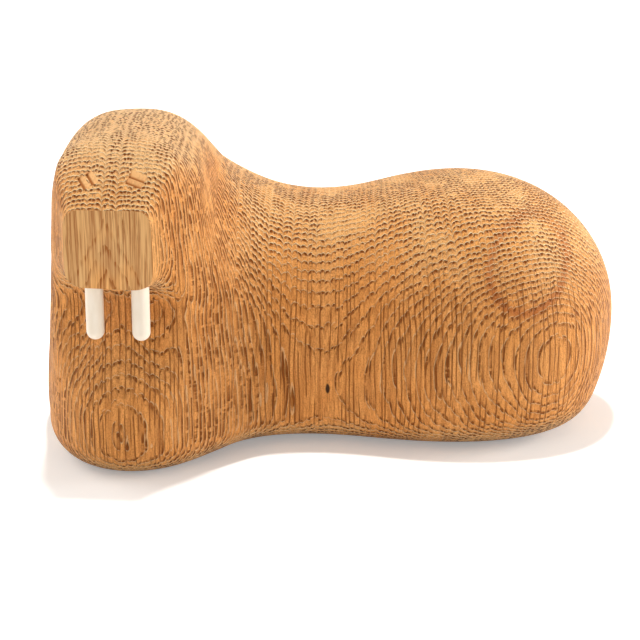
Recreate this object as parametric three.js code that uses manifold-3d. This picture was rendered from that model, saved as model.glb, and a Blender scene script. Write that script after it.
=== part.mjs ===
// A carved oak walrus: one solid body, and two tusks that are pegs glued into blind holes under its muzzle.
// Millimetres, +Z up. The face looks along -Y and the rump lies towards +X. The origin is under the middle.
// While it is carved, x is measured from the neck's middle, y from the neck's front and z from the base.

import * as THREE from 'three';
import { mergeVertices } from 'three/addons/utils/BufferGeometryUtils.js';
import loadManifold from 'manifold-3d';

// Rump: the middle of the round mass at the right, and how far it reaches from there
const rumpX = 120;
const rumpY = 73;
const rumpZ = 41;
const rumpSide = 44;
const rumpFront = 36;
const rumpBack = 37;
const rumpRise = 44;
const rumpDrop = 56;

// Back: the long low mass between rump and neck, measured in the same way
const backX = 50;
const backY = 67;
const backZ = 8.5;
const backSide = 70;
const backFront = 25.5;
const backBack = 27;
const backRise = 65.5;
const backDrop = 41;

// Neck and chest: an upright column with round ends, narrower at the back
const neckDepth = 80;
const neckHalfWidth = 22.5;
const neckBackHalfWidth = 17;

// Crown: the dome over the head, and where it is highest
const crownY = 34;
const crownZ = 117.6;
const crownSide = 66;
const crownFront = 74;
const crownBack = 50;
const crownRise = 78;

// Muzzle: a wedge that widens backwards from the planed face, which stands ahead of the neck
const faceX = -1.4;
const faceY = -6;
const faceTopZ = 97;
const muzzleBottomZ = 70.8;
const muzzleHalfWidth = 14.2;
const muzzleFlare = 0.25;
const muzzleWidest = 19;
const muzzleLength = 16;
const foreheadSlope = 45;

// Throat: the hollow under the muzzle, which runs out downwards, backwards and to both sides
const throatDepth = 9;
const throatReach = 40;
const throatLowZ = 20;
const throatHighZ = 60;
const throatFade = 9;
const throatInnerHalf = 10;
const throatOuterHalf = 25;

// Blends: how widely neighbouring forms run into each other
const rumpBlend = 64;
const neckBlend = 66;
const crownBlend = 16;
const muzzleBlend = 11;
const muzzleRootBlend = 8;
const muzzleEdge = 7;
const crownEdge = 4;
const foreheadEdge = 5;
const baseEdge = 13.5;

// Tusks, and the holes that hold them
const tuskDiameter = 6;
const tuskLength = 20;
const tuskSpacing = 15.3;
const tuskOffset = 1.75;
const tuskSetback = 6;
const tuskChamfer = 0.6;
const socketDepth = 12;
const glueGap = 0.3;

// Eyes: two chisel cuts each, placed across and up the forehead from the middle of the face's top edge
const eyeCutWidth = 2.2;
const eyeCutDepth = 0.8;
const leftEyeAcross = -7.1;
const leftEyeUp = 10.9;
const leftEyeLean = -57;
const leftEyeLength = 5;
const leftEyeSpacing = 3;
const rightEyeAcross = 8.7;
const rightEyeUp = 11.2;
const rightEyeLean = -21;
const rightEyeLength = 5.6;
const rightEyeSpacing = 2.4;

// Making: facet size of the carved body, grid cells under its base, sides of a round peg or hole,
// the wood that the plane takes off the face, and how far a cutter runs out of the wood
const facet = 4.5;
const cellsBelow = 1.5;
const roundSides = 24;
const planedStock = 12;
const cutOverrun = 1;

// What follows from the sizes above
const tuskY = faceY + tuskSetback;
const slope = THREE.MathUtils.degToRad(foreheadSlope);

const wasm = await loadManifold();
wasm.setup();

const oakMaterial = new THREE.MeshStandardMaterial({ color: 0xc88a50, roughness: 0.7, metalness: 0 });
const tuskMaterial = new THREE.MeshStandardMaterial({ color: 0xf4e6d2, roughness: 0.4, metalness: 0 });

// The smaller of two distances, rounded off over the given width where they are alike
function smoothMin(a, b, width) {
  const overlap = Math.max(width - Math.abs(a - b), 0) / width;
  return Math.min(a, b) - overlap * overlap * width / 4;
}

function smoothMax(a, b, width) {
  return -smoothMin(-a, -b, width);
}

// Distance to an ellipsoid with its own reach to the front, back, top and bottom, negative inside
function eggDistance(dx, dy, dz, reach) {
  const ry = dy > 0 ? reach.back : reach.front;
  const rz = dz > 0 ? reach.rise : reach.drop;
  const nearness = Math.hypot(dx / reach.side, dy / ry, dz / rz);
  const steepness = Math.hypot(dx / reach.side ** 2, dy / ry ** 2, dz / rz ** 2);
  return nearness * (nearness - 1) / Math.max(steepness, Number.EPSILON);
}

const rump = { side: rumpSide, front: rumpFront, back: rumpBack, rise: rumpRise, drop: rumpDrop };
const back = { side: backSide, front: backFront, back: backBack, rise: backRise, drop: backDrop };
const crown = { side: crownSide, front: crownFront, back: crownBack, rise: crownRise, drop: crownRise };

function trunkDistance(x, y, z) {
  const rumpMass = eggDistance(x - rumpX, y - rumpY, z - rumpZ, rump);
  const backMass = eggDistance(x - backX, y - backY, z - backZ, back);
  return smoothMin(rumpMass, backMass, rumpBlend);
}

// How strongly the throat is hollowed at a point: 1 under the muzzle, fading away from there on all sides
function throatShare(x, y, z) {
  const rising = THREE.MathUtils.smoothstep(z, throatLowZ, throatHighZ);
  const capped = 1 - THREE.MathUtils.smoothstep(z, muzzleBottomZ, muzzleBottomZ + throatFade);
  const middle = 1 - THREE.MathUtils.smoothstep(Math.abs(x - faceX), throatInnerHalf, throatOuterHalf);
  const front = 1 - THREE.MathUtils.smoothstep(y, throatDepth, throatReach);
  return rising * capped * middle * front;
}

function neckDistance(x, y, z) {
  const frontCentre = neckHalfWidth;
  const backCentre = neckDepth - neckBackHalfWidth;
  const along = THREE.MathUtils.clamp((y - frontCentre) / (backCentre - frontCentre), 0, 1);
  const half = THREE.MathUtils.lerp(neckHalfWidth, neckBackHalfWidth, along);
  const nearest = THREE.MathUtils.lerp(frontCentre, backCentre, along);
  return Math.hypot(x, y - nearest) - half + throatDepth * throatShare(x, y, z);
}

function muzzleDistance(x, y, z) {
  const half = Math.min(muzzleHalfWidth + (y - faceY) * muzzleFlare, muzzleWidest);
  const side = (Math.abs(x - faceX) - half) / Math.hypot(1, muzzleFlare);
  const wedge = smoothMax(side, muzzleBottomZ - z, muzzleEdge);
  return smoothMax(wedge, y - faceY - muzzleLength, muzzleRootBlend);
}

function headDistance(x, y, z) {
  const dome = eggDistance(x, y - crownY, z - (crownZ - crownRise), crown);
  const domedNeck = smoothMax(neckDistance(x, y, z), dome, crownBlend);
  const domedMuzzle = smoothMax(muzzleDistance(x, y, z), dome, crownEdge);
  const forehead = (z - faceTopZ) * Math.cos(slope) - (y - faceY) * Math.sin(slope);
  const head = smoothMax(smoothMin(domedNeck, domedMuzzle, muzzleBlend), forehead, foreheadEdge);
  return Math.max(head, faceY - planedStock - y);
}

// The whole carved form, standing on z = 0, before the face is planed
function bodyDistance(x, y, z) {
  const form = smoothMin(headDistance(x, y, z), trunkDistance(x, y, z), neckBlend);
  return smoothMax(form, -z, baseEdge);
}

// A box that holds the carved form with a facet to spare
function bodyBounds() {
  const spread = Math.max(rumpBlend, neckBlend) / 4 + facet;
  const low = new THREE.Vector3(
    Math.min(-neckHalfWidth, faceX - muzzleWidest, backX - backSide) - spread,
    Math.min(faceY - planedStock, backY - backFront, rumpY - rumpFront) - spread,
    -facet * cellsBelow,
  );
  const high = new THREE.Vector3(
    Math.max(rumpX + rumpSide, backX + backSide, neckHalfWidth) + spread,
    Math.max(rumpY + rumpBack, backY + backBack, neckDepth) + spread,
    Math.max(crownZ, rumpZ + rumpRise, backZ + backRise) + spread,
  );
  return { low, high };
}

// Moves a point along the field's gradient until it lies on the surface
function settle(point, field) {
  const probe = 0.05;
  const steps = 6;
  for (let step = 0; step < steps; step += 1) {
    const { x, y, z } = point;
    const gradient = new THREE.Vector3(
      field(x + probe, y, z) - field(x - probe, y, z),
      field(x, y + probe, z) - field(x, y - probe, z),
      field(x, y, z + probe) - field(x, y, z - probe),
    ).divideScalar(2 * probe);
    point.addScaledVector(gradient, -field(x, y, z) / gradient.lengthSq());
  }
  return point;
}

// Samples the field on a grid of cubes
function sampleField(field, { low, high }, cell) {
  const size = high.clone().sub(low).divideScalar(cell).ceil().addScalar(1).toArray();
  const indexOf = (i) => i[0] + size[0] * (i[1] + size[1] * i[2]);
  const placeOf = (i) => new THREE.Vector3(...i).multiplyScalar(cell).add(low);
  const values = new Float64Array(size[0] * size[1] * size[2]);
  for (const i of gridCells(size)) {
    const place = placeOf(i);
    values[indexOf(i)] = field(place.x, place.y, place.z);
  }
  return { size, indexOf, placeOf, values };
}

function* gridCells(size) {
  for (let z = 0; z < size[2]; z += 1) {
    for (let y = 0; y < size[1]; y += 1) {
      for (let x = 0; x < size[0]; x += 1) {
        yield [x, y, z];
      }
    }
  }
}

// The twelve edges of a cube, each as its two corners
function cubeEdges() {
  const edges = [];
  for (let axis = 0; axis < 3; axis += 1) {
    for (const [u, v] of [[0, 0], [0, 1], [1, 0], [1, 1]]) {
      const start = [0, 0, 0];
      start[(axis + 1) % 3] = u;
      start[(axis + 2) % 3] = v;
      const end = [...start];
      end[axis] = 1;
      edges.push([start, end]);
    }
  }
  return edges;
}

// One vertex for each cube that the surface passes through, amid the places where it crosses the edges
function netVertices(grid, field) {
  const edges = cubeEdges();
  const vertexOf = new Map();
  const vertices = [];
  for (const i of gridCells(grid.size.map((count) => count - 1))) {
    const middle = new THREE.Vector3();
    let crossings = 0;
    for (const [start, end] of edges) {
      const from = i.map((index, axis) => index + start[axis]);
      const to = i.map((index, axis) => index + end[axis]);
      const a = grid.values[grid.indexOf(from)];
      const b = grid.values[grid.indexOf(to)];
      if (a < 0 !== b < 0) {
        middle.add(grid.placeOf(from).lerp(grid.placeOf(to), a / (a - b)));
        crossings += 1;
      }
    }
    if (crossings > 0) {
      vertexOf.set(grid.indexOf(i), vertices.length);
      vertices.push(settle(middle.divideScalar(crossings), field));
    }
  }
  return { vertexOf, vertices };
}

// Two triangles round each grid edge that the surface crosses, split along the shorter diagonal
function netTriangles(grid, vertexOf, vertices) {
  const triangles = [];
  for (const i of gridCells(grid.size)) {
    for (let axis = 0; axis < 3; axis += 1) {
      const next = [...i];
      next[axis] += 1;
      if (next[axis] >= grid.size[axis]) continue;
      const startsInside = grid.values[grid.indexOf(i)] < 0;
      const endsInside = grid.values[grid.indexOf(next)] < 0;
      if (startsInside === endsInside) continue;
      const quad = [[1, 1], [0, 1], [0, 0], [1, 0]].map(([u, v]) => {
        const cell = [...i];
        cell[(axis + 1) % 3] -= u;
        cell[(axis + 2) % 3] -= v;
        return vertexOf.get(grid.indexOf(cell));
      });
      if (endsInside) quad.reverse();
      const [a, b, c, d] = quad;
      const straight = vertices[a].distanceTo(vertices[c]) < vertices[b].distanceTo(vertices[d]);
      triangles.push(...(straight ? [a, b, c, a, c, d] : [a, b, d, b, c, d]));
    }
  }
  return triangles;
}

function solidFrom(geometry) {
  const bare = geometry.clone();
  bare.deleteAttribute('normal');
  bare.deleteAttribute('uv');
  const merged = mergeVertices(bare);
  const vertProperties = new Float32Array(merged.attributes.position.array);
  const triVerts = new Uint32Array(merged.index.array);
  return new wasm.Manifold(new wasm.Mesh({ numProp: 3, vertProperties, triVerts }));
}

function geometryFrom(solid) {
  const { vertProperties, triVerts } = solid.getMesh();
  const geometry = new THREE.BufferGeometry();
  geometry.setAttribute('position', new THREE.BufferAttribute(new Float32Array(vertProperties), 3));
  geometry.setIndex(new THREE.BufferAttribute(new Uint32Array(triVerts), 1));
  geometry.computeVertexNormals();
  return geometry;
}

function carvedForm() {
  const grid = sampleField(bodyDistance, bodyBounds(), facet);
  const { vertexOf, vertices } = netVertices(grid, bodyDistance);
  const geometry = new THREE.BufferGeometry().setFromPoints(vertices);
  geometry.setIndex(netTriangles(grid, vertexOf, vertices));
  return solidFrom(geometry);
}

// Everything in front of the muzzle's flat face
function planeCutter() {
  const { low, high } = bodyBounds();
  const span = high.clone().sub(low);
  const cutter = new THREE.BoxGeometry(span.x, span.y, span.z);
  cutter.translate((low.x + high.x) / 2, faceY - span.y / 2, (low.z + high.z) / 2);
  return solidFrom(cutter);
}

function tuskX(side) {
  return faceX + tuskOffset + side * tuskSpacing / 2;
}

// A round hole up into the muzzle, which also keeps the throat clear of the tusk below it
function socketCutter(side) {
  const height = socketDepth + tuskLength + glueGap;
  const radius = tuskDiameter / 2 + glueGap;
  const cutter = new THREE.CylinderGeometry(radius, radius, height, roundSides);
  cutter.rotateX(Math.PI / 2);
  cutter.translate(tuskX(side), tuskY, muzzleBottomZ + socketDepth - height / 2);
  return solidFrom(cutter);
}

// One chisel cut: a ramp that goes into the forehead and ends in a step on its lower side
function eyeCutter(eye, rank) {
  const half = eyeCutWidth / 2;
  const rampOverrun = eyeCutWidth * cutOverrun / eyeCutDepth;
  const ramp = new THREE.Shape([
    new THREE.Vector2(-half, -eyeCutDepth),
    new THREE.Vector2(half + rampOverrun, cutOverrun),
    new THREE.Vector2(-half, cutOverrun),
  ]);
  const cutter = new THREE.ExtrudeGeometry(ramp, { depth: eye.length, bevelEnabled: false });
  cutter.translate(rank * eye.spacing / 2, 0, -eye.length / 2);
  const across = new THREE.Vector3(1, 0, 0);
  const upwards = new THREE.Vector3(0, 1, 0);
  const outwards = new THREE.Vector3(0, 0, 1);
  cutter.applyMatrix4(new THREE.Matrix4().makeBasis(upwards, outwards, across));
  cutter.rotateZ(THREE.MathUtils.degToRad(eye.lean));
  cutter.translate(eye.across, eye.up, 0);
  cutter.rotateX(slope);
  cutter.translate(faceX, faceY, faceTopZ);
  return solidFrom(cutter);
}

const leftEye = {
  across: leftEyeAcross,
  up: leftEyeUp,
  lean: leftEyeLean,
  length: leftEyeLength,
  spacing: leftEyeSpacing,
};
const rightEye = {
  across: rightEyeAcross,
  up: rightEyeUp,
  lean: rightEyeLean,
  length: rightEyeLength,
  spacing: rightEyeSpacing,
};

function oakBody() {
  let solid = carvedForm().subtract(planeCutter());
  for (const side of [-1, 1]) {
    solid = solid.subtract(socketCutter(side));
  }
  for (const eye of [leftEye, rightEye]) {
    solid = solid.subtract(eyeCutter(eye, -1)).subtract(eyeCutter(eye, 1));
  }
  const body = new THREE.Mesh(geometryFrom(solid), oakMaterial);
  body.name = 'oak_body';
  return body;
}

// A peg with a round tip below and a small chamfer at the end that goes into the muzzle
function tusk(name, side) {
  const radius = tuskDiameter / 2;
  const top = socketDepth - glueGap;
  const tipArc = new THREE.Path().absarc(0, radius - tuskLength, radius, -Math.PI / 2, 0);
  const arcSteps = roundSides / 4;
  const profile = tipArc.getPoints(arcSteps);
  profile[0].x = 0;
  profile.push(new THREE.Vector2(radius, top - tuskChamfer));
  profile.push(new THREE.Vector2(radius - tuskChamfer, top));
  profile.push(new THREE.Vector2(0, top));
  const peg = new THREE.Mesh(new THREE.LatheGeometry(profile, roundSides), tuskMaterial);
  peg.name = name;
  peg.rotation.x = Math.PI / 2;
  peg.position.set(tuskX(side), tuskY, muzzleBottomZ);
  return peg;
}

function walrus() {
  const figure = new THREE.Group();
  figure.add(oakBody(), tusk('tusk_left', -1), tusk('tusk_right', 1));
  const box = new THREE.Box3().setFromObject(figure);
  const middle = box.getCenter(new THREE.Vector3());
  figure.position.set(-middle.x, -middle.y, -box.min.z);
  figure.updateMatrixWorld(true);
  return figure;
}

export default walrus();
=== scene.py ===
import itertools
import math

import bmesh
import bpy
import numpy as np
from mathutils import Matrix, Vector


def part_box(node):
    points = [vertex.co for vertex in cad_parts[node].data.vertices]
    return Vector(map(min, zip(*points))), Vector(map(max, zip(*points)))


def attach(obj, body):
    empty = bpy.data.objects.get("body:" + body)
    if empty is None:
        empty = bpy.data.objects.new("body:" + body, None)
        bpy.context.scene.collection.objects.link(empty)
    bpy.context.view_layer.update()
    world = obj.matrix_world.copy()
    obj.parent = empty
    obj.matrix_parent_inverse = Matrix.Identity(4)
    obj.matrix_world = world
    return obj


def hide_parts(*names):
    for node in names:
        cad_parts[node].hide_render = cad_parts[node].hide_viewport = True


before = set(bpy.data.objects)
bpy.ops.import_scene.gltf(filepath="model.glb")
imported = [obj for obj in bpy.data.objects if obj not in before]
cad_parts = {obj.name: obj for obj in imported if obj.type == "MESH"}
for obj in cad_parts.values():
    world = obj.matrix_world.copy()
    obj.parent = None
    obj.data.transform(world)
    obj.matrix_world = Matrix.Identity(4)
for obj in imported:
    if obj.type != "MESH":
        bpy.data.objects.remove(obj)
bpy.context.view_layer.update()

# Millimetres in a metre
MILLIMETRES = 1000

# The carved form, in millimetres: x from the neck's middle, y from the neck's front, z from the base
RUMP_AT = (120, 73, 41)
RUMP_REACH = {"side": 44, "front": 36, "back": 37, "rise": 44, "drop": 56}
BACK_AT = (50, 67, 8.5)
BACK_REACH = {"side": 70, "front": 25.5, "back": 27, "rise": 65.5, "drop": 41}
NECK_DEPTH = 80
NECK_HALF_WIDTH = 22.5
NECK_BACK_HALF_WIDTH = 17
CROWN_AT = (0, 34, 39.6)
CROWN_REACH = {"side": 66, "front": 74, "back": 50, "rise": 78, "drop": 78}
FACE_X = -1.4
FACE_Y = -6
FACE_TOP_Z = 97
MUZZLE_BOTTOM_Z = 70.8
MUZZLE_HALF_WIDTH = 14.2
MUZZLE_FLARE = 0.25
MUZZLE_WIDEST = 19
MUZZLE_LENGTH = 16
FOREHEAD_SLOPE = math.radians(45)
THROAT_DEPTH = 9
THROAT_REACH = 40
THROAT_LOW_Z = 20
THROAT_HIGH_Z = 60
THROAT_FADE = 9
THROAT_INNER_HALF = 10
THROAT_OUTER_HALF = 25
RUMP_BLEND = 64
NECK_BLEND = 66
CROWN_BLEND = 16
MUZZLE_BLEND = 11
MUZZLE_ROOT_BLEND = 8
MUZZLE_EDGE = 7
CROWN_EDGE = 4
FOREHEAD_EDGE = 5
BASE_EDGE = 13.5
PLANED_STOCK = 4

# Grid of the carved mesh, in millimetres, how its points settle on the form, and which edges stay sharp
CELL = 1.0
FORM_LOW = (-36, -12, -2.5)
FORM_HIGH = (172, 124, 124)
SETTLE_STEPS = 5
PROBE = 0.02
SHARP_ANGLE = math.radians(35)

# Tusks and eyes, in millimetres, with the lean in degrees
TUSK_RADIUS = 3
TUSK_LENGTH = 20
TUSK_SPACING = 15.3
TUSK_OFFSET = 1.75
TUSK_SETBACK = 6
TUSK_CHAMFER = 0.6
TIP_STEPS = 12
SOCKET_DEPTH = 12
GLUE_GAP = 0.3
ROUND_SIDES = 64
EYE_CUT_WIDTH = 2.2
EYE_CUT_DEPTH = 0.8
LEFT_EYE = {"across": -7.1, "up": 10.9, "lean": -57, "length": 5, "spacing": 3}
RIGHT_EYE = {"across": 8.7, "up": 11.2, "lean": -21, "length": 5.6, "spacing": 2.4}

# Cuts, in millimetres: a cutter's overrun, the tolerance for telling cut faces, and the gap that is welded
CUT_OVERRUN = 1
CUT_TOLERANCE = 0.05
WELD_REACH = 0.01

# Oak, in millimetres: the pith stands behind the figure, the rings lie round it and the rays point at it
PITH_X = 79
PITH_Y = 157
PITH_SOFTNESS = 16
RING_HEAD = 1.22
RING_RUMP = 1.5
RING_CHANGE_X = (10, 95)
RING_START = 140
CROWDED_FROM = 122
CROWDING = 0.045
RAY_RADIUS = 115
RAY_SPACING = 1.55
RAY_HALF_WIDTH = 0.32
VESSEL_SPACING = 0.7

# Slope of the surface: how far it faces up or sideways where tops and walls along the rays set in
LEVEL = (0.2, 0.65)
ASIDE = (0.35, 0.8)
LEAST_GLANCE = 0.1

# Strips of wood between the rays: how far apart their patterns are drawn, and how uneven their widths are
PICK_SPREAD = 50
STRIP_UNEVENNESS = 0.85

# Marks of each ring, in millimetres: where they start and end past the ring's start, how wide they are,
# and how they fade
PIT = {
    "start": (0.2, 0.4),
    "end": (1.5, 0.9),
    "width": (0.75, 0.4),
    "taper": 0.3,
    "sway": 1.4,
    "shift": 1.2,
    "thinning": 0.6,
}
# The painted shade in each ring's hollow: where it starts and ends past the ring's start
HOLLOW = {"start": (0.2, 0.4), "end": (1.5, 0.9)}
# The raised ridge at each ring's start, which is also painted lighter as a highlight
CREST = {"middle": 0.1, "width": (0.34, 0.1)}
MARK_FADING = {"width": 20, "height": 2.5, "edge": (0.34, 0.46), "aside": 0.06}
FAINTEST_MARK = 0.1
CALMEST_PLACE = 0.3

# How far the grain and the rays stray, and over what width and height of wood, in millimetres
BEND = {"width": 45, "height": 120, "reach": 5}
WAVER = {"width": 8, "height": 22, "reach": 1.6}

# How far the rings stray, counted in rings, and over what width and height of wood, in millimetres
RIPPLE = {"width": 1.1, "height": 10, "reach": 0.5}
STAGGER = {"width": 6, "height": 20, "head": 1.1, "rump": 0.9, "top": 0.6}
SCALLOP = 0.5

# How rays and vessels fade, and over what width and height of wood, in millimetres
RAY_FADING = {"width": 12, "height": 24, "edge": (0.42, 0.53)}
FAINTEST_RAY = 0.1
VESSEL_FADING = {"width": 5, "height": 7, "edge": (0.48, 0.62)}
VESSEL_LINE = (0.3, 0.05)
VESSEL_PART = (0.75, 0.3)

# Arches that the rings draw on the planed face, in millimetres
ARCH_X = -2
ARCH_TOP_Z = 95
ARCH_HEIGHT = 9
ARCH_HALF_WIDTH = 4.6
ARCH_SWAY = 0.5
ARCH_FADING = 0.15
ARCH_LINE = (0.4, 0.1)
FAINTEST_ARCH = 0.2

# The painted shade at the deep end of a chisel cut, as shares of the cut's depth
CUT_SHADE = (0.4, 0.75)

# Noise patterns of the wood: width across the grain, height along it, in millimetres, and where they set in
NOISE_MIDDLE = 0.5
PLAIN_DETAIL = 2
FIBRES = {"width": 0.5, "height": 20, "detail": 3, "edge": (0.54, 0.40)}
STREAKS = {"width": 1.5, "height": 50, "detail": 2, "edge": (0.55, 0.38)}
FUZZ = {"width": 0.4, "height": 0.6, "detail": 2, "edge": (0.55, 0.30)}
BLOTCHES = {"width": 15, "height": 24, "detail": 3, "edge": (0.36, 0.64)}
LIVELY = {"width": 13, "height": 18, "detail": 3, "edge": (0.36, 0.50)}

# A reddish stain on the rump: an oval band, in millimetres
STAIN_X = 134.5
STAIN_Z = 66.5
STAIN_HALF_WIDTH = 13
STAIN_HALF_HEIGHT = 14.5
STAIN_BAND = 0.2

# A small dark speck low on the waist, in millimetres
SPECK_X = 66.9
SPECK_Z = 23
SPECK_HALF_WIDTH = 0.75
SPECK_HALF_HEIGHT = 2
SPECK_SOFTNESS = (1.1, 0.7)

# The stain and the speck are on the front alone: they set in between these two places, in millimetres
FRONT_Y = (66, 53)

# Where painted highlight makes the top of the head and the muzzle's sides paler, in millimetres
CROWN_HIGHLIGHT_Z = (100, 117)
MUZZLE_HIGHLIGHT_Y = (FACE_Y + 8, FACE_Y)
MUZZLE_HIGHLIGHT_TOP_Z = (FACE_TOP_Z + 2, FACE_TOP_Z - 5)
MUZZLE_HIGHLIGHT_LOW_Z = (MUZZLE_BOTTOM_Z - 4, MUZZLE_BOTTOM_Z + 4)

# Colours of the oak
# Also painted as a highlight on each ring's ridge and on the top of the head
OAK_LIGHT = (0.99, 0.72, 0.41, 1)
OAK_PALE = (0.96, 0.52, 0.19, 1)
OAK_GOLD = (0.88, 0.40, 0.112, 1)
# Painted shade: the colour of the carved sides, which face away from the lamp above
OAK_SHADED_SIDE = (0.92, 0.39, 0.107, 1)
# The dark of open pores, and painted shadow under each ring's step
OAK_PORE_AND_SHADOW = (0.23, 0.055, 0.003, 1)
# Also painted as shade in each ring's hollow and at the deep end of each chisel cut
OAK_BROWN = (0.31, 0.083, 0.010, 1)
OAK_RED = (0.46, 0.12, 0.025, 1)
SPECK_DARK = (0.02, 0.01, 0.006, 1)
PLANED_PALE = (0.96, 0.50, 0.175, 1)
PLANED_GREY = (0.82, 0.49, 0.21, 1)
CHISELLED_PALE = (0.88, 0.51, 0.22, 1)
CHISELLED_PINK = (0.82, 0.45, 0.19, 1)

# Each surface's features, from the lowest layer up: the colour, and how much of it shows on sides and tops.
# A lift is how far the feature stands out there, as a share of the surface's relief.
CARVED = {
    "fuzz": {"colour": OAK_BROWN, "side": 0.32, "top": 0.38, "side_lift": -0.3, "top_lift": -0.4},
    "fibres": {"colour": OAK_BROWN, "side": 0.22, "top": 0.15, "side_lift": -0.3, "top_lift": -0.2},
    "streaks": {"colour": OAK_BROWN, "side": 0.3, "top": 0, "side_lift": -0.2, "top_lift": 0},
    "stain": {"colour": OAK_RED, "side": 0.7, "top": 0.7, "side_lift": 0, "top_lift": 0},
    # Painted shade in each ring's worn-down hollow
    "shaded_hollows": {"colour": OAK_BROWN, "side": 0.3, "top": 0.6, "side_lift": -0.4, "top_lift": -0.8},
    # Painted highlight on each ring's raised ridge, which also stands proud in the bump
    "highlighted_crests": {"colour": OAK_LIGHT, "side": 0.35, "top": 1.0, "side_lift": 0.3, "top_lift": 1.2},
    "light_rays": {"colour": OAK_LIGHT, "side": 0, "top": 0.25, "side_lift": 0, "top_lift": 0.2},
    # Painted highlight: the top of the head made paler
    "crown_highlight": {"colour": OAK_LIGHT, "side": 0.25, "top": 0.35, "side_lift": 0, "top_lift": 0},
    "dark_rays": {"colour": OAK_PORE_AND_SHADOW, "side": 0.75, "top": 0, "side_lift": -0.8, "top_lift": 0},
    "vessels": {"colour": OAK_BROWN, "side": 0.5, "top": 0, "side_lift": -0.5, "top_lift": 0},
    # Open pores, darkened further by painted shadow under each ring's step
    "shadowed_pores": {"colour": OAK_PORE_AND_SHADOW, "side": 0.8, "top": 1.0, "side_lift": -1.2, "top_lift": -1.5},
    # Painted highlight: the muzzle's sides made paler next to the planed face
    "muzzle_highlight": {"colour": PLANED_PALE, "side": 0.6, "top": 0.4, "side_lift": 0, "top_lift": 0},
    "speck": {"colour": SPECK_DARK, "side": 0.95, "top": 0.95, "side_lift": -1.0, "top_lift": -1.0},
}
PLANED = {
    "beside_arches": {"colour": PLANED_GREY, "side": 0.8, "top": 0.8, "side_lift": 0, "top_lift": 0},
    "fibres": {"colour": OAK_BROWN, "side": 0.52, "top": 0.52, "side_lift": -0.3, "top_lift": -0.3},
    "streaks": {"colour": OAK_BROWN, "side": 0.25, "top": 0.25, "side_lift": -0.2, "top_lift": -0.2},
    "arches": {"colour": OAK_BROWN, "side": 0.8, "top": 0.8, "side_lift": -0.6, "top_lift": -0.6},
    "dark_rays": {"colour": OAK_BROWN, "side": 0.35, "top": 0.35, "side_lift": -0.5, "top_lift": -0.5},
    "vessels": {"colour": OAK_PORE_AND_SHADOW, "side": 0.9, "top": 0.9, "side_lift": -0.8, "top_lift": -0.8},
}
CHISELLED = {
    "fibres": {"colour": OAK_BROWN, "side": 0.15, "top": 0.15, "side_lift": -0.2, "top_lift": -0.2},
    # Painted shade at the deep end of each chisel cut
    "shaded_cut_ends": {"colour": OAK_BROWN, "side": 0.8, "top": 0.8, "side_lift": 0, "top_lift": 0},
}

# Finishes of the body, in the order of its material slots, with the relief in millimetres
FINISHES = {
    "oak": {"pale": OAK_PALE, "deep": OAK_GOLD, "features": CARVED, "relief": 0.45},
    "planed": {"pale": PLANED_PALE, "deep": PLANED_GREY, "features": PLANED, "relief": 0.1},
    "chiselled": {"pale": CHISELLED_PALE, "deep": CHISELLED_PINK, "features": CHISELLED, "relief": 0.08},
}

# How much the painted shade of the carved sides, a deeper and more saturated orange than the tops, covers
# the two ground colours
SIDE_SHADE_SHARE = 0.75

# Gloss of the oak
OAK_ROUGHNESS = 0.6
FIBRE_SMOOTHNESS = 0.12
OAK_SPECULAR = 0.12
SHEEN_WEIGHT = 0.08
SHEEN_ROUGHNESS = 0.4
SHEEN_TINT = (1, 0.72, 0.42, 1)

# Tusks: colours, gloss, and the sizes of their clouds and grain in millimetres
TUSK_PALE = (0.95, 0.87, 0.75, 1)
TUSK_CREAM = (0.91, 0.82, 0.685, 1)
TUSK_CLOUDS = {"width": 3, "height": 9, "detail": 3, "edge": (0.3, 0.7)}
TUSK_GRAIN = {"width": 0.5, "height": 1.2, "detail": 2}
TUSK_ROUGHNESS = (0.32, 0.52)
TUSK_RELIEF = 0.02

# Camera, in millimetres: where it looks, from which side and how far. Its focal length is in pixels
LOOK_AT = (64, 35, 47)
CAMERA_AZIMUTH = math.radians(5)
CAMERA_ELEVATION = math.radians(20)
CAMERA_DISTANCE = 760
FRAME_PIXELS = 640
FOCAL_PIXELS = 2215
SENSOR_WIDTH = 36

# Lamps, in metres and watts, and the light from all sides
LAMPS = {
    "overhead": {"place": (0.0, 0.1, 1.37), "size": 0.1, "watts": 14.8},
    "right": {"place": (1.7, 0.5, 0.45), "size": 1.0, "watts": 28},
    "left": {"place": (-1.4, 0.5, 0.8), "size": 1.4, "watts": 13},
}
LAMP_AIM = (0, 0, 0.05)
LAMP_COLOUR = (1, 0.98, 0.95)
FILL_COLOUR = (1, 0.92, 0.83, 1)
FILL_STRENGTH = 0.49
WHITE = (1, 1, 1, 1)

# Floor: its reach in metres, its finish, and the distances in millimetres between which it turns white
FLOOR_REACH = 3
FLOOR_COLOUR = (0.9, 0.9, 0.9, 1)
FLOOR_ROUGHNESS = 0.9
FLOOR_GLOW = 0.28
FLOOR_FADING = (350, 1200)


def smooth_min(a, b, width):
    """The smaller of two distances, rounded off over the given width where they are alike."""
    overlap = np.maximum(width - np.abs(a - b), 0) / width
    return np.minimum(a, b) - overlap * overlap * width / 4


def smooth_max(a, b, width):
    return -smooth_min(-a, -b, width)


def smooth_step(value, low, high):
    share = np.clip((value - low) / (high - low), 0, 1)
    return share * share * (3 - 2 * share)


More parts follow.
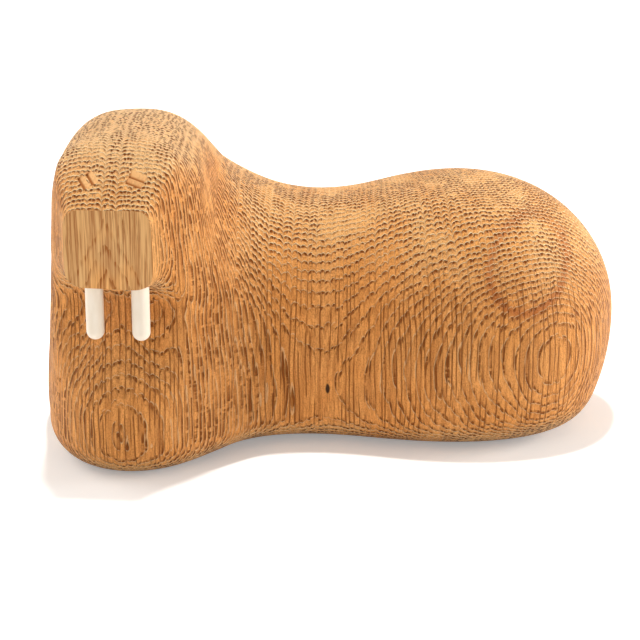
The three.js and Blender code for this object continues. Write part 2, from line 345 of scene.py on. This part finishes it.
def egg_distance(x, y, z, centre, reach):
    """Distance to an egg with its own reach to the front, back, top and bottom, negative inside."""
    dx = x - centre[0]
    dy = y - centre[1]
    dz = z - centre[2]
    reach_x = reach["side"]
    reach_y = np.where(dy > 0, reach["back"], reach["front"])
    reach_z = np.where(dz > 0, reach["rise"], reach["drop"])
    nearness = np.sqrt((dx / reach_x) ** 2 + (dy / reach_y) ** 2 + (dz / reach_z) ** 2)
    steepness = np.sqrt((dx / reach_x**2) ** 2 + (dy / reach_y**2) ** 2 + (dz / reach_z**2) ** 2)
    return nearness * (nearness - 1) / np.maximum(steepness, np.finfo(float).eps)


def throat_share(x, y, z):
    """How strongly the throat is hollowed: 1 under the muzzle, fading away from there on all sides."""
    rising = smooth_step(z, THROAT_LOW_Z, THROAT_HIGH_Z)
    capped = 1 - smooth_step(z, MUZZLE_BOTTOM_Z, MUZZLE_BOTTOM_Z + THROAT_FADE)
    middle = 1 - smooth_step(np.abs(x - FACE_X), THROAT_INNER_HALF, THROAT_OUTER_HALF)
    front = 1 - smooth_step(y, THROAT_DEPTH, THROAT_REACH)
    return rising * capped * middle * front


def neck_distance(x, y, z):
    front_centre = NECK_HALF_WIDTH
    back_centre = NECK_DEPTH - NECK_BACK_HALF_WIDTH
    along = np.clip((y - front_centre) / (back_centre - front_centre), 0, 1)
    half = NECK_HALF_WIDTH + (NECK_BACK_HALF_WIDTH - NECK_HALF_WIDTH) * along
    nearest = front_centre + (back_centre - front_centre) * along
    return np.hypot(x, y - nearest) - half + THROAT_DEPTH * throat_share(x, y, z)


def muzzle_distance(x, y, z):
    half = np.minimum(MUZZLE_HALF_WIDTH + (y - FACE_Y) * MUZZLE_FLARE, MUZZLE_WIDEST)
    side = (np.abs(x - FACE_X) - half) / math.hypot(1, MUZZLE_FLARE)
    wedge = smooth_max(side, MUZZLE_BOTTOM_Z - z, MUZZLE_EDGE)
    return smooth_max(wedge, y - FACE_Y - MUZZLE_LENGTH, MUZZLE_ROOT_BLEND)


def above_forehead(y, z):
    """Distance from the plane of the flat forehead, negative inside."""
    return (z - FACE_TOP_Z) * math.cos(FOREHEAD_SLOPE) - (y - FACE_Y) * math.sin(FOREHEAD_SLOPE)


def head_distance(x, y, z):
    dome = egg_distance(x, y, z, CROWN_AT, CROWN_REACH)
    domed_neck = smooth_max(neck_distance(x, y, z), dome, CROWN_BLEND)
    domed_muzzle = smooth_max(muzzle_distance(x, y, z), dome, CROWN_EDGE)
    head = smooth_min(domed_neck, domed_muzzle, MUZZLE_BLEND)
    head = smooth_max(head, above_forehead(y, z), FOREHEAD_EDGE)
    return np.maximum(head, FACE_Y - PLANED_STOCK - y)


def body_distance(x, y, z):
    """The whole carved form, standing on z = 0, before the face is planed."""
    rump = egg_distance(x, y, z, RUMP_AT, RUMP_REACH)
    back = egg_distance(x, y, z, BACK_AT, BACK_REACH)
    trunk = smooth_min(rump, back, RUMP_BLEND)
    form = smooth_min(head_distance(x, y, z), trunk, NECK_BLEND)
    return smooth_max(form, -z, BASE_EDGE)


def settle(points):
    """Moves points along the form's gradient until they lie on its surface."""
    points = points.copy()
    for _ in range(SETTLE_STEPS):
        gradient = np.empty_like(points)
        for axis in range(3):
            ahead = points.copy()
            behind = points.copy()
            ahead[:, axis] += PROBE
            behind[:, axis] -= PROBE
            gradient[:, axis] = (body_distance(*ahead.T) - body_distance(*behind.T)) / (2 * PROBE)
        slope = np.sum(gradient**2, axis=1)
        points -= gradient * (body_distance(*points.T) / slope)[:, None]
    return points


def net_points(values, cells):
    """For each cube, the middle of the places where the surface crosses the cube's edges."""
    total = np.zeros((len(cells), 3))
    crossings = np.zeros(len(cells))
    for axis in range(3):
        for sides in itertools.product((0, 1), repeat=2):
            start = np.insert(sides, axis, 0)
            end = np.insert(sides, axis, 1)
            a = values[tuple((cells + start).T)]
            b = values[tuple((cells + end).T)]
            crossed = (a < 0) != (b < 0)
            along = np.where(crossed, a / np.where(crossed, a - b, 1), 0)
            place = cells + start + along[:, None] * (end - start)
            total += place * crossed[:, None]
            crossings += crossed
    return total / crossings[:, None]


def net_quads(inside, index):
    """One quad round each grid edge that the surface crosses, facing out."""
    quads = []
    for axis in range(3):
        step = np.diff(inside.astype(np.int8), axis=axis)
        edges = np.argwhere(step != 0)
        leaving = step[tuple(edges.T)] < 0
        shift_u = np.eye(3, dtype=int)[(axis + 1) % 3]
        shift_v = np.eye(3, dtype=int)[(axis + 2) % 3]
        corners = [edges - shift_u - shift_v, edges - shift_v, edges, edges - shift_u]
        quad = np.stack([index[tuple(corner.T)] for corner in corners], axis=1)
        quads.append(np.where(leaving[:, None], quad, quad[:, ::-1]))
    return np.concatenate(quads)


def carved_form():
    """Points and quads of the carved form, in millimetres."""
    axes = [np.arange(low, high, CELL) for low, high in zip(FORM_LOW, FORM_HIGH)]
    values = body_distance(*np.meshgrid(*axes, indexing="ij", sparse=True))
    inside = values < 0
    size = inside.shape
    corners = [
        inside[i : size[0] - 1 + i, j : size[1] - 1 + j, k : size[2] - 1 + k]
        for i, j, k in itertools.product((0, 1), repeat=3)
    ]
    mixed = np.any(corners, axis=0) & ~np.all(corners, axis=0)
    cells = np.argwhere(mixed)
    index = np.full(mixed.shape, -1)
    index[tuple(cells.T)] = np.arange(len(cells))
    points = np.array(FORM_LOW) + net_points(values, cells) * CELL
    return settle(points), net_quads(inside, index)


class Placing:
    """Takes carving millimetres to metres in the part's frame, so that the form fills its solid's box."""

    def __init__(self, points):
        low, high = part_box("oak_body")
        form_low = points.min(axis=0)
        form_high = points.max(axis=0)
        # The planed face is the front of the finished form
        form_low[1] = FACE_Y
        self.scale = (np.array(high) - np.array(low)) / (form_high - form_low)
        self.shift = np.array(low) - form_low * self.scale

    def __call__(self, points):
        return np.asarray(points, float) * self.scale + self.shift

    def back(self, points):
        return (np.asarray(points, float) - self.shift) / self.scale


def mesh_object(name, points, faces):
    mesh = bpy.data.meshes.new(name)
    mesh.from_pydata(np.asarray(points).tolist(), [], [list(face) for face in faces])
    mesh.update()
    piece = bpy.data.objects.new(name, mesh)
    bpy.context.scene.collection.objects.link(piece)
    return piece


def prism(outline, start, end):
    """Points and faces of a straight prism: the outline at start, and again at end."""
    count = len(outline)
    points = [(u, v, start) for u, v in outline] + [(u, v, end) for u, v in outline]
    faces = [list(range(count))[::-1], list(range(count, 2 * count))]
    for i in range(count):
        j = (i + 1) % count
        faces.append([i, j, count + j, count + i])
    return np.array(points, float), faces


def tusk_place(side):
    return FACE_X + TUSK_OFFSET + side * TUSK_SPACING / 2, FACE_Y + TUSK_SETBACK


def round_outline(radius):
    turns = np.arange(ROUND_SIDES) * math.tau / ROUND_SIDES
    return np.stack([radius * np.cos(turns), radius * np.sin(turns)], axis=1)


def face_cutter():
    """Everything in front of the muzzle's flat face."""
    left, front = FORM_LOW[:2]
    right = FORM_HIGH[0]
    top = FORM_HIGH[2]
    outline = [(left, front), (right, front), (right, FACE_Y), (left, FACE_Y)]
    return prism(outline, MUZZLE_BOTTOM_Z - MUZZLE_EDGE, top)


def socket_cutter(side):
    """A round hole up into the muzzle."""
    low = MUZZLE_BOTTOM_Z - TUSK_LENGTH
    points, faces = prism(round_outline(TUSK_RADIUS + GLUE_GAP), low, MUZZLE_BOTTOM_Z + SOCKET_DEPTH)
    return points + (*tusk_place(side), 0), faces


def eye_cutter(eye, rank):
    """One chisel cut: a ramp that goes into the forehead and ends in a step on its lower side."""
    half = EYE_CUT_WIDTH / 2
    overrun = EYE_CUT_WIDTH * CUT_OVERRUN / EYE_CUT_DEPTH
    outline = [(-half, -EYE_CUT_DEPTH), (half + overrun, CUT_OVERRUN), (-half, CUT_OVERRUN)]
    points, faces = prism(outline, -eye["length"] / 2, eye["length"] / 2)
    up = points[:, 0] + rank * eye["spacing"] / 2
    out = points[:, 1]
    across = points[:, 2]
    lean = math.radians(eye["lean"])
    level = across * math.cos(lean) - up * math.sin(lean) + eye["across"]
    climb = across * math.sin(lean) + up * math.cos(lean) + eye["up"]
    x = FACE_X + level
    y = FACE_Y + climb * math.cos(FOREHEAD_SLOPE) - out * math.sin(FOREHEAD_SLOPE)
    z = FACE_TOP_Z + climb * math.sin(FOREHEAD_SLOPE) + out * math.cos(FOREHEAD_SLOPE)
    return np.stack([x, y, z], axis=1), faces


def cutters():
    shapes = [face_cutter(), socket_cutter(-1), socket_cutter(1)]
    for eye in (LEFT_EYE, RIGHT_EYE):
        shapes += [eye_cutter(eye, -1), eye_cutter(eye, 1)]
    return shapes


def weld(mesh):
    """Merges the points that the cuts leave almost in one place, so that no slivers stay."""
    form = bmesh.new()
    form.from_mesh(mesh)
    bmesh.ops.remove_doubles(form, verts=form.verts, dist=WELD_REACH / MILLIMETRES)
    bmesh.ops.dissolve_degenerate(form, edges=form.edges, dist=WELD_REACH / MILLIMETRES)
    form.to_mesh(mesh)
    form.free()


def cut_away(body, tools):
    """Subtracts the tools from the body and removes them."""
    for tool in tools:
        modifier = body.modifiers.new("cut", "BOOLEAN")
        modifier.operation = "DIFFERENCE"
        modifier.solver = "MANIFOLD"
        modifier.object = tool
    evaluated = body.evaluated_get(bpy.context.evaluated_depsgraph_get())
    whole = body.data
    carved = bpy.data.meshes.new_from_object(evaluated)
    weld(carved)
    body.modifiers.clear()
    body.data = carved
    bpy.data.meshes.remove(whole)
    for tool in tools:
        bpy.data.meshes.remove(tool.data)


class Signal:
    """A number that a material works out at every point. Arithmetic on it adds nodes to the material."""

    def __init__(self, graph, socket):
        self.graph = graph
        self.socket = socket

    def __add__(self, other):
        return self.graph.math("ADD", self, other)

    def __radd__(self, other):
        return self.graph.math("ADD", other, self)

    def __sub__(self, other):
        return self.graph.math("SUBTRACT", self, other)

    def __rsub__(self, other):
        return self.graph.math("SUBTRACT", other, self)

    def __mul__(self, other):
        return self.graph.math("MULTIPLY", self, other)

    def __truediv__(self, other):
        return self.graph.math("DIVIDE", self, other)

    def __abs__(self):
        return self.graph.math("ABSOLUTE", self)

    def root(self):
        return self.graph.math("SQRT", self)

    def fraction(self):
        return self.graph.math("FRACT", self)

    def centred(self):
        """Moves a noise that runs from 0 to 1, so that its middle is 0."""
        return self - NOISE_MIDDLE

    def at_least(self, least):
        """Squeezes a share, so that 0 becomes the least value and 1 stays."""
        return self * (1 - least) + least

    def rise(self, low, high):
        """A smooth step from 0 at low to 1 at high. Low may be the larger of the two."""
        return self.graph.step(self, low, high)


class Graph:
    """Builds a material out of signals."""

    def __init__(self, name):
        self.material = bpy.data.materials.new(name)
        self.material.use_nodes = True
        self.tree = self.material.node_tree
        self.shader = self.tree.nodes["Principled BSDF"]

    def feed(self, socket, value):
        if isinstance(value, Signal):
            value = value.socket
        if isinstance(value, bpy.types.NodeSocket):
            self.tree.links.new(value, socket)
        else:
            socket.default_value = value

    def math(self, operation, *values):
        node = self.tree.nodes.new("ShaderNodeMath")
        node.operation = operation
        for socket, value in zip(node.inputs, values):
            self.feed(socket, value)
        return Signal(self, node.outputs[0])

    def step(self, value, low, high):
        node = self.tree.nodes.new("ShaderNodeMapRange")
        node.interpolation_type = "SMOOTHSTEP"
        falling = low > high
        self.feed(node.inputs["Value"], value)
        self.feed(node.inputs["From Min"], min(low, high))
        self.feed(node.inputs["From Max"], max(low, high))
        self.feed(node.inputs["To Min"], 1.0 if falling else 0.0)
        self.feed(node.inputs["To Max"], 0.0 if falling else 1.0)
        return Signal(self, node.outputs["Result"])

    def split(self, vector):
        node = self.tree.nodes.new("ShaderNodeSeparateXYZ")
        self.feed(node.inputs[0], vector)
        return [Signal(self, output) for output in node.outputs]

    def join(self, x, y, z):
        node = self.tree.nodes.new("ShaderNodeCombineXYZ")
        for socket, value in zip(node.inputs, (x, y, z)):
            self.feed(socket, value)
        return node.outputs[0]

    def place(self, to_part):
        """Where a point of the surface lies, in carving millimetres."""
        node = self.tree.nodes.new("ShaderNodeTexCoord")
        metres = self.split(node.outputs["Object"])
        return [(value - float(shift)) * MILLIMETRES for value, shift in zip(metres, to_part.shift)]

    def facing(self):
        """The direction that the surface faces, as three signals."""
        node = self.tree.nodes.new("ShaderNodeNewGeometry")
        return self.split(node.outputs["Normal"])

    def noise(self, place, detail=PLAIN_DETAIL):
        """Smooth noise from 0 to 1."""
        return Signal(self, self.noise_node(place, detail).outputs["Fac"])

    def noises(self, place):
        """Three smooth noises from 0 to 1 that have nothing to do with each other."""
        return self.split(self.noise_node(place, PLAIN_DETAIL).outputs["Color"])

    def noise_node(self, place, detail):
        node = self.tree.nodes.new("ShaderNodeTexNoise")
        self.feed(node.inputs["Vector"], self.join(*place))
        node.inputs["Scale"].default_value = 1
        node.inputs["Detail"].default_value = detail
        return node

    def strip_picks(self, across, nearest="F1"):
        """Three numbers from 0 to 1 that belong to the strip here, or with F2 to its neighbour."""
        return self.split(self.strip_node(across, nearest).outputs["Color"])

    def from_middle(self, across):
        return across - Signal(self, self.strip_node(across, "F1").outputs["W"])

    def from_edge(self, across):
        return Signal(self, self.strip_node(across, "DISTANCE_TO_EDGE").outputs["Distance"])

    def strip_node(self, across, feature):
        """Divides a line into uneven strips, about 1 wide."""
        node = self.tree.nodes.new("ShaderNodeTexVoronoi")
        node.voronoi_dimensions = "1D"
        node.feature = feature
        self.feed(node.inputs["W"], across)
        node.inputs["Scale"].default_value = 1
        node.inputs["Randomness"].default_value = STRIP_UNEVENNESS
        return node

    def chance(self, *place):
        """A number from 0 to 1 that has nothing to do with the numbers of the places around."""
        node = self.tree.nodes.new("ShaderNodeTexWhiteNoise")
        self.feed(node.inputs["Vector"], self.join(*place))
        return Signal(self, node.outputs["Value"])

    def mix(self, share, a, b):
        node = self.tree.nodes.new("ShaderNodeMix")
        node.data_type = "RGBA"
        sockets = {socket.identifier: socket for socket in (*node.inputs, *node.outputs)}
        self.feed(sockets["Factor_Float"], share)
        self.feed(sockets["A_Color"], a)
        self.feed(sockets["B_Color"], b)
        return sockets["Result_Color"]

    def bump(self, height, millimetres):
        """Lets the surface look as if it rose by the given distance where the height is 1."""
        node = self.tree.nodes.new("ShaderNodeBump")
        node.inputs["Strength"].default_value = 1
        node.inputs["Distance"].default_value = millimetres / MILLIMETRES
        self.feed(node.inputs["Height"], height)
        self.feed(self.shader.inputs["Normal"], node.outputs["Normal"])


def upright(place, size):
    """A place counted in widths and heights of an upright pattern."""
    across, along, up = place
    return across / size["width"], along / size["width"], up / size["height"]


class Oak:
    """Oak with upright grain. Its features are signals from 0 to 1 at every point of the surface."""

    def __init__(self, graph, to_part):
        self.graph = graph
        self.x, self.y, self.z = graph.place(to_part)
        self.find_grain()
        self.find_slope()
        self.find_strips()
        self.find_rings()
        self.find_strength()

    def in_block(self, size):
        return upright((self.x, self.y, self.z), size)

    def along_grain(self, size):
        return upright((self.around, self.radius, self.z), size)

    def pattern(self, place, size):
        return self.graph.noise(place, size["detail"]).rise(*size["edge"])

    def fading(self, pick, size):
        """Noise that a strip with the given pick has to itself."""
        place = (pick * PICK_SPREAD, self.radius / size["width"], self.z / size["height"])
        return self.graph.noise(place)

    def find_grain(self):
        """The distance from the pith and the way round it. Left of the pith the rings run on straight."""
        bends = [noise.centred() * BEND["reach"] for noise in self.graph.noises(self.in_block(BEND))]
        across = self.x + bends[0] - PITH_X
        away = PITH_Y - self.y - bends[1]
        turn = (across * across + PITH_SOFTNESS**2).root()
        lean = (across + turn) / 2
        self.radius = (lean * lean + away * away).root()
        self.around = self.graph.math("ARCTAN2", lean, away) * RAY_RADIUS + across - lean
        self.outward_x = lean * lean / turn / self.radius
        self.outward_y = away / self.radius

    def find_slope(self):
        """Level is 1 on tops, glance is 1 across the rings, and aside is 1 on walls along the rays."""
        facing_x, facing_y, facing_z = self.graph.facing()
        self.level = abs(facing_z).rise(*LEVEL)
        outward = facing_x * self.outward_x - facing_y * self.outward_y
        self.glance = self.graph.math("MAXIMUM", 1 - outward * outward, LEAST_GLANCE**2).root()
        sideways = abs(facing_x * self.outward_y + facing_y * self.outward_x)
        self.aside = sideways.rise(*ASIDE) * (1 - self.level)

    def find_strips(self):
        """The rays divide the wood into uneven strips."""
        self.waver = self.graph.noise(self.in_block(WAVER)).centred() * WAVER["reach"]
        self.sideways = self.around + self.waver
        strip = self.sideways / RAY_SPACING
        self.picks = self.graph.strip_picks(strip)
        both_picks = self.picks[0] + self.graph.strip_picks(strip, "F2")[0]
        self.local = self.graph.from_middle(strip) * RAY_SPACING
        self.ray = (self.graph.from_edge(strip) * RAY_SPACING).rise(RAY_HALF_WIDTH, 0)
        self.ray_fading = self.fading(both_picks, RAY_FADING).rise(*RAY_FADING["edge"])

    def find_rings(self):
        """How far a point is into its ring, from 0 to 1, and past the ring's start, in millimetres."""
        rearward = self.x.rise(*RING_CHANGE_X)
        width = rearward * (RING_RUMP - RING_HEAD) + RING_HEAD
        crowd = self.graph.math("MAXIMUM", self.radius - CROWDED_FROM, 0) * rearward
        count = (self.radius - RING_START + crowd * crowd * CROWDING) / width
        self.ripples = [noise.centred() for noise in self.graph.noises(self.along_grain(RIPPLE))]
        scallops = (self.ripples[0] * RIPPLE["reach"] - self.local * self.local * SCALLOP) * self.glance
        reach = rearward * (STAGGER["rump"] - STAGGER["head"]) + STAGGER["head"]
        reach = reach + self.glance * STAGGER["top"]
        stagger = self.fading(self.picks[1], STAGGER).centred() * reach
        ring = count + stagger + scallops
        self.phase = ring.fraction()
        self.past = self.phase * width / (crowd * (2 * CROWDING) + 1) / self.glance
        self.luck = self.graph.chance(self.picks[2], ring - self.phase, 0)

    def find_strength(self):
        """How clearly a ring's marks show in each strip."""
        lively = self.pattern(self.in_block(LIVELY), LIVELY).at_least(CALMEST_PLACE)
        fading = self.fading(self.luck, MARK_FADING) - self.aside * MARK_FADING["aside"]
        self.strength = fading.rise(*MARK_FADING["edge"]).at_least(FAINTEST_MARK) * lively

    def fuzz(self):
        return self.pattern(self.in_block(FUZZ), FUZZ)

    def fibres(self):
        return self.pattern(self.along_grain(FIBRES), FIBRES)

    def streaks(self):
        return self.pattern(self.along_grain(STREAKS), STREAKS)

    def blotches(self):
        return self.pattern(self.in_block(BLOTCHES), BLOTCHES)

    def from_oval(self, x, z, half_width, half_height):
        """The way from an oval's middle, seen from the front, with 1 along its edge."""
        across = (self.x - x) / half_width
        up = (self.z - z) / half_height
        return (across * across + up * up).root()

    def stain(self):
        away = self.from_oval(STAIN_X, STAIN_Z, STAIN_HALF_WIDTH, STAIN_HALF_HEIGHT)
        return abs(away - 1).rise(STAIN_BAND, 0) * self.y.rise(*FRONT_Y)

    def speck(self):
        away = self.from_oval(SPECK_X, SPECK_Z, SPECK_HALF_WIDTH, SPECK_HALF_HEIGHT)
        return away.rise(*SPECK_SOFTNESS) * self.y.rise(*FRONT_Y)

    # The top of the head, painted paler as a highlight
    def crown_highlight(self):
        return self.z.rise(*CROWN_HIGHLIGHT_Z)

    def muzzle_highlight(self):
        """The muzzle's sides, next to its planed face, painted paler as a highlight."""
        below = self.z.rise(*MUZZLE_HIGHLIGHT_TOP_Z)
        above = self.z.rise(*MUZZLE_HIGHLIGHT_LOW_Z)
        return self.y.rise(*MUZZLE_HIGHLIGHT_Y) * below * above

    def shadowed_pores(self):
        """Open pores, painted darker as shadow under each ring's step: a dark notch in each strip, widest
        just past the ring's start.
        """
        sway = self.ripples[1] * PIT["sway"] + self.luck.centred() * PIT["shift"]
        spread = abs(self.local + sway) * (1 - self.aside) + self.past * PIT["taper"]
        past = self.past * (self.aside * PIT["thinning"] + 1)
        along = past.rise(*PIT["start"]) * past.rise(*PIT["end"])
        return spread.rise(*PIT["width"]) * along * self.strength

    def shaded_hollows(self):
        """Soft wood worn down past each ring's start, painted darker as shade in the hollow."""
        return self.past.rise(*HOLLOW["start"]) * self.past.rise(*HOLLOW["end"]) * self.strength

    def highlighted_crests(self):
        """Hard wood that stands proud where each ring starts, painted lighter as a highlight on the ridge.
        """
        return abs(self.past - CREST["middle"]).rise(*CREST["width"])

    def arch(self):
        """Arches that the rings draw on a flat cut: 0 along the outermost one and more inside it."""
        across = abs(self.x - ARCH_X) / ARCH_HALF_WIDTH
        return (ARCH_TOP_Z - self.z) / ARCH_HEIGHT - across + self.ripples[0] + self.waver * ARCH_SWAY

    def beside_arches(self):
        return self.arch().rise(ARCH_FADING, -ARCH_FADING)

    def arches(self):
        line = self.arch().fraction().rise(*ARCH_LINE) * (1 - self.beside_arches())
        return line * self.fibres().at_least(FAINTEST_ARCH)

    def shaded_cut_ends(self):
        """The deepest part of a chisel cut in the forehead, painted dark as shade."""
        return (above_forehead(self.y, self.z) / -EYE_CUT_DEPTH).rise(*CUT_SHADE)

    def light_rays(self):
        return self.ray

    def dark_rays(self):
        return self.ray * self.ray_fading.at_least(FAINTEST_RAY) * (1 - self.aside)

    def vessels(self):
        """Fine upright grooves, in the first part of each ring."""
        strip = self.sideways / VESSEL_SPACING + self.picks[0] * PICK_SPREAD
        picks = self.graph.strip_picks(strip)
        fading = self.fading(picks[0], VESSEL_FADING).rise(*VESSEL_FADING["edge"])
        return self.graph.from_edge(strip).rise(*VESSEL_LINE) * fading * self.phase.rise(*VESSEL_PART)


def oak_material(name, to_part):
    """Oak of two ground colours in blotches, with the finish's features laid over them one by one."""
    finish = FINISHES[name]
    graph = Graph(name)
    oak = Oak(graph, to_part)
    colour = graph.mix(oak.blotches(), finish["pale"], finish["deep"])
    # The carved sides are painted a deeper, more saturated orange than the tops, as shade
    if finish["features"] is CARVED:
        colour = graph.mix((1 - oak.level) * SIDE_SHADE_SHARE, colour, OAK_SHADED_SIDE)
    lifts = []
    for feature, show in finish["features"].items():
        signal = getattr(oak, feature)()
        share = oak.level * (show["top"] - show["side"]) + show["side"]
        lift = oak.level * (show["top_lift"] - show["side_lift"]) + show["side_lift"]
        colour = graph.mix(signal * share, colour, show["colour"])
        lifts.append(signal * lift)
    inputs = graph.shader.inputs
    graph.feed(inputs["Base Color"], colour)
    graph.feed(inputs["Roughness"], OAK_ROUGHNESS - oak.fibres() * FIBRE_SMOOTHNESS)
    inputs["Specular IOR Level"].default_value = OAK_SPECULAR
    inputs["Sheen Weight"].default_value = SHEEN_WEIGHT
    inputs["Sheen Roughness"].default_value = SHEEN_ROUGHNESS
    inputs["Sheen Tint"].default_value = SHEEN_TINT
    graph.bump(sum(lifts), finish["relief"])
    return graph.material


def tusk_material(to_part):
    graph = Graph("tusk")
    place = graph.place(to_part)
    cloud = graph.noise(upright(place, TUSK_CLOUDS), TUSK_CLOUDS["detail"])
    grain = graph.noise(upright(place, TUSK_GRAIN), TUSK_GRAIN["detail"])
    colour = graph.mix(cloud.rise(*TUSK_CLOUDS["edge"]), TUSK_PALE, TUSK_CREAM)
    smooth, rough = TUSK_ROUGHNESS
    graph.feed(graph.shader.inputs["Base Color"], colour)
    graph.feed(graph.shader.inputs["Roughness"], cloud * (rough - smooth) + smooth)
    graph.bump(grain, TUSK_RELIEF)
    return graph.material


def finish_at(centre, normal):
    """The finish of a face of the body: the planed muzzle and the chiselled eyes have their own."""
    if abs(centre[1] - FACE_Y) < CUT_TOLERANCE and normal[1] < -math.cos(SHARP_ANGLE):
        return "planed"
    if centre[2] > FACE_TOP_Z and body_distance(*centre) < -CUT_TOLERANCE:
        return "chiselled"
    return "oak"


def paint_body(body, to_part):
    mesh = body.data
    mesh.materials.clear()
    slots = list(FINISHES)
    for name in slots:
        mesh.materials.append(oak_material(name, to_part))
    for face in mesh.polygons:
        face.material_index = slots.index(finish_at(to_part.back(face.center), face.normal))


def finish_piece(piece, node):
    piece.data.shade_smooth()
    piece.data.set_sharp_from_angle(angle=SHARP_ANGLE)
    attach(piece, "root")
    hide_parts(node)


def make_body(points, quads, to_part):
    body = mesh_object("carved_oak", to_part(points), quads)
    tools = [mesh_object("cutter", to_part(corners), faces) for corners, faces in cutters()]
    cut_away(body, tools)
    paint_body(body, to_part)
    finish_piece(body, "oak_body")


def tusk_profile():
    """Radius and height along the peg's outline, from the edge of its top almost down to its tip."""
    top = MUZZLE_BOTTOM_Z + SOCKET_DEPTH - GLUE_GAP
    tip_middle = MUZZLE_BOTTOM_Z - TUSK_LENGTH + TUSK_RADIUS
    profile = [(TUSK_RADIUS - TUSK_CHAMFER, top), (TUSK_RADIUS, top - TUSK_CHAMFER)]
    for step in range(TIP_STEPS):
        turn = step / TIP_STEPS * math.pi / 2
        profile.append((TUSK_RADIUS * math.cos(turn), tip_middle - TUSK_RADIUS * math.sin(turn)))
    return profile


def tusk_mesh(side):
    """Points and faces of a turned peg: rings of points, closed by a flat top and a pole at the tip."""
    profile = tusk_profile()
    rings = [np.insert(round_outline(radius), 2, height, axis=1) for radius, height in profile]
    pole = (0, 0, MUZZLE_BOTTOM_Z - TUSK_LENGTH)
    points = np.concatenate(rings + [[pole]]) + (*tusk_place(side), 0)
    faces = [range(ROUND_SIDES)]
    last = len(rings) - 1
    for i in range(ROUND_SIDES):
        j = (i + 1) % ROUND_SIDES
        for ring in range(last):
            upper = ring * ROUND_SIDES
            lower = upper + ROUND_SIDES
            faces.append((upper + i, lower + i, lower + j, upper + j))
        faces.append((last * ROUND_SIDES + i, len(points) - 1, last * ROUND_SIDES + j))
    return points, faces


def make_tusks(to_part):
    material = tusk_material(to_part)
    for side, node in ((-1, "tusk_left"), (1, "tusk_right")):
        points, faces = tusk_mesh(side)
        tusk = mesh_object(f"{node}_peg", to_part(points), faces)
        tusk.data.materials.append(material)
        finish_piece(tusk, node)


def make_camera(to_part):
    data = bpy.data.cameras.new("camera")
    camera = bpy.data.objects.new("camera", data)
    bpy.context.scene.collection.objects.link(camera)
    towards = Vector((
        math.sin(CAMERA_AZIMUTH) * math.cos(CAMERA_ELEVATION),
        -math.cos(CAMERA_AZIMUTH) * math.cos(CAMERA_ELEVATION),
        math.sin(CAMERA_ELEVATION),
    ))
    camera.location = Vector(to_part(LOOK_AT)) + towards * CAMERA_DISTANCE / MILLIMETRES
    camera.rotation_euler = towards.to_track_quat("Z", "Y").to_euler()
    data.sensor_fit = "HORIZONTAL"
    data.sensor_width = SENSOR_WIDTH
    data.lens = FOCAL_PIXELS / FRAME_PIXELS * SENSOR_WIDTH
    bpy.context.scene.camera = camera
    bpy.context.scene.view_settings.view_transform = "Standard"


def make_lamps():
    for name, lamp in LAMPS.items():
        data = bpy.data.lights.new(name, "AREA")
        data.shape = "DISK"
        data.size = lamp["size"]
        data.energy = lamp["watts"]
        data.color = LAMP_COLOUR
        holder = bpy.data.objects.new(name, data)
        holder.location = lamp["place"]
        away = Vector(lamp["place"]) - Vector(LAMP_AIM)
        holder.rotation_euler = away.to_track_quat("Z", "Y").to_euler()
        bpy.context.scene.collection.objects.link(holder)


def seen_directly(tree):
    """1 for the camera's own rays, their reflections and what they meet through glass, otherwise 0."""
    rays = tree.nodes.new("ShaderNodeLightPath")
    total = rays.outputs["Is Camera Ray"]
    for name in ("Is Glossy Ray", "Is Transmission Ray"):
        node = tree.nodes.new("ShaderNodeMath")
        node.operation = "MAXIMUM"
        tree.links.new(total, node.inputs[0])
        tree.links.new(rays.outputs[name], node.inputs[1])
        total = node.outputs[0]
    return total


def make_world():
    """Lights the scene softly from all sides, and shows white behind it."""
    world = bpy.data.worlds.new("studio")
    bpy.context.scene.world = world
    world.use_nodes = True
    tree = world.node_tree
    fill = tree.nodes["Background"]
    fill.inputs["Color"].default_value = FILL_COLOUR
    fill.inputs["Strength"].default_value = FILL_STRENGTH
    white = tree.nodes.new("ShaderNodeBackground")
    white.inputs["Color"].default_value = WHITE
    mix = tree.nodes.new("ShaderNodeMixShader")
    tree.links.new(seen_directly(tree), mix.inputs[0])
    tree.links.new(fill.outputs[0], mix.inputs[1])
    tree.links.new(white.outputs[0], mix.inputs[2])
    tree.links.new(mix.outputs[0], tree.nodes["World Output"].inputs["Surface"])


def floor_material(to_part):
    """Keeps the figure's shadow, and is as white as the world behind it far from the figure."""
    graph = Graph("floor")
    inputs = graph.shader.inputs
    inputs["Base Color"].default_value = FLOOR_COLOUR
    inputs["Roughness"].default_value = FLOOR_ROUGHNESS
    inputs["Specular IOR Level"].default_value = 0
    inputs["Emission Color"].default_value = WHITE
    place = graph.place(to_part)
    across = place[0] - LOOK_AT[0]
    along = place[1] - LOOK_AT[1]
    away = (across * across + along * along).root()
    glow = away.rise(*FLOOR_FADING).at_least(FLOOR_GLOW)
    graph.feed(inputs["Emission Strength"], glow * Signal(graph, seen_directly(graph.tree)))
    return graph.material


def make_floor(to_part):
    reach = FLOOR_REACH
    corners = [(-reach, -reach, 0), (reach, -reach, 0), (reach, reach, 0), (-reach, reach, 0)]
    floor = mesh_object("floor", corners, [range(len(corners))])
    floor.data.materials.append(floor_material(to_part))


def build():
    points, quads = carved_form()
    to_part = Placing(points)
    make_body(points, quads, to_part)
    make_tusks(to_part)
    make_camera(to_part)
    make_lamps()
    make_world()
    make_floor(to_part)


build()
